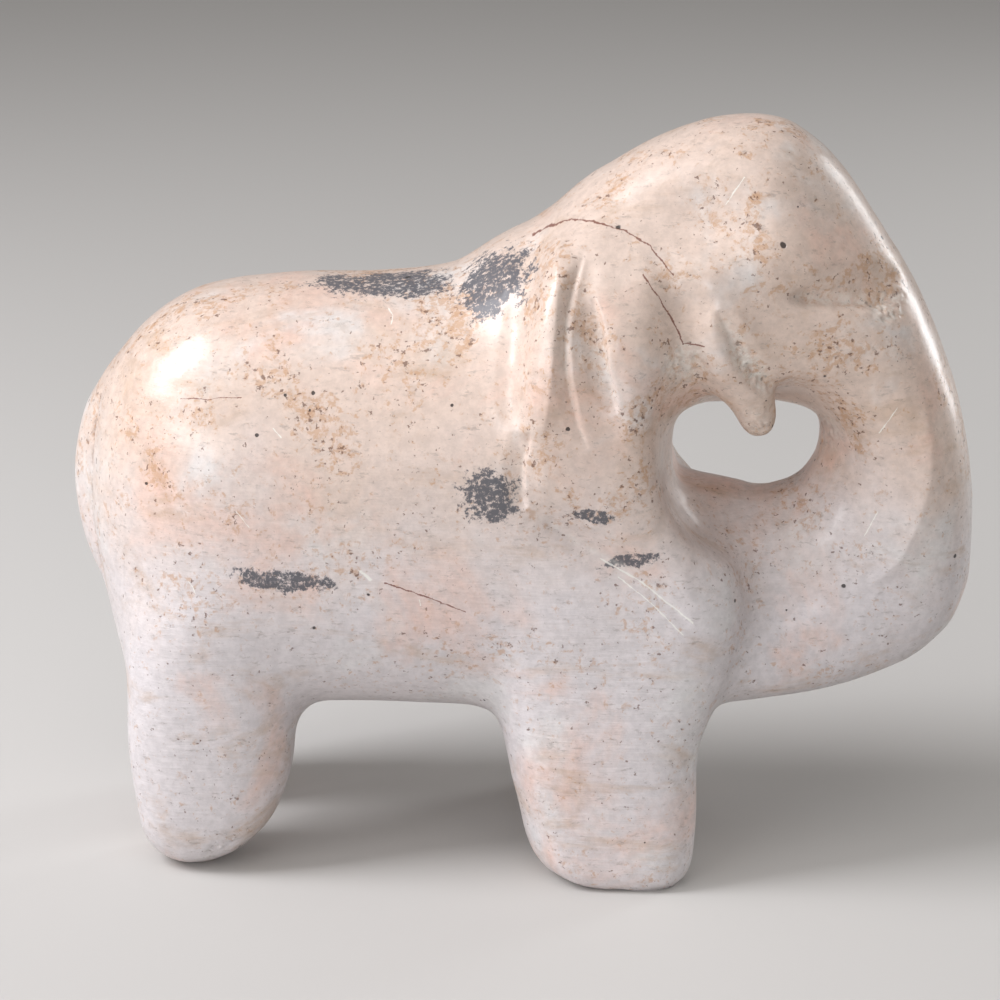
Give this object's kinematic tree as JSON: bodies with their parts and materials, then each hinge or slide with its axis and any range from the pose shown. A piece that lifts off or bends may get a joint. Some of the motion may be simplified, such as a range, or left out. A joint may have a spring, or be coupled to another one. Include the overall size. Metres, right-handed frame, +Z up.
{
  "type": "elephant sculpture",
  "caption": "Small standing elephant carved in the round from soapstone, its trunk curled back to the chest around an open loop, with incised ears and eyes.",
  "frame": {"origin": "on the ground, under the middle of the figure's length and width", "axes": "+X from the tail to the trunk, +Y to the elephant's left, +Z up from the soles"},
  "size_m": [0.0802, 0.031, 0.0664],
  "materials": {
    "soapstone": "polished, waxy pinkish-beige soapstone with ochre mottling, lilac and pale blue-grey clouds, fine brown specks and small dark grey mineral patches"
  },
  "bodies": {
    "root": {"elephant": "soapstone"}
  },
  "joints": []
}
